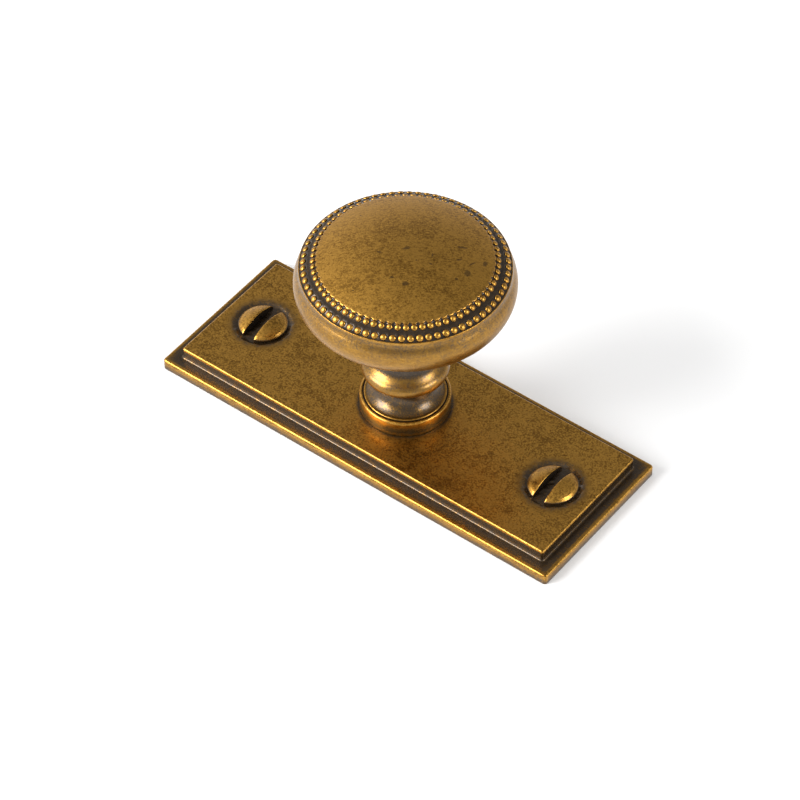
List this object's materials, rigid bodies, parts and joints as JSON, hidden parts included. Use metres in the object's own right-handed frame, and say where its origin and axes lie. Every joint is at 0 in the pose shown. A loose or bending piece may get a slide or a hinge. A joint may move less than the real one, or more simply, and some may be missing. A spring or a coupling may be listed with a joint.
{
  "type": "mushroom knob",
  "caption": "Round mushroom knob with beaded rings on a stepped rectangular backplate with dummy slotted screw heads, fixed by one screw from behind.",
  "frame": {"origin": "middle of the backplate's back face, on the line of the fixing screw", "axes": "+X along the backplate's length, +Y across it, +Z from its back towards the knob's crown"},
  "size_m": [0.076, 0.0346, 0.039],
  "materials": {
    "aged_brass_knob": "aged and rubbed back, dark in the recesses",
    "aged_brass_plate": "aged and brushed, dark on the ledge and riser"
  },
  "bodies": {
    "root": {"knob": "aged_brass_knob", "backplate": "aged_brass_plate"}
  },
  "joints": []
}
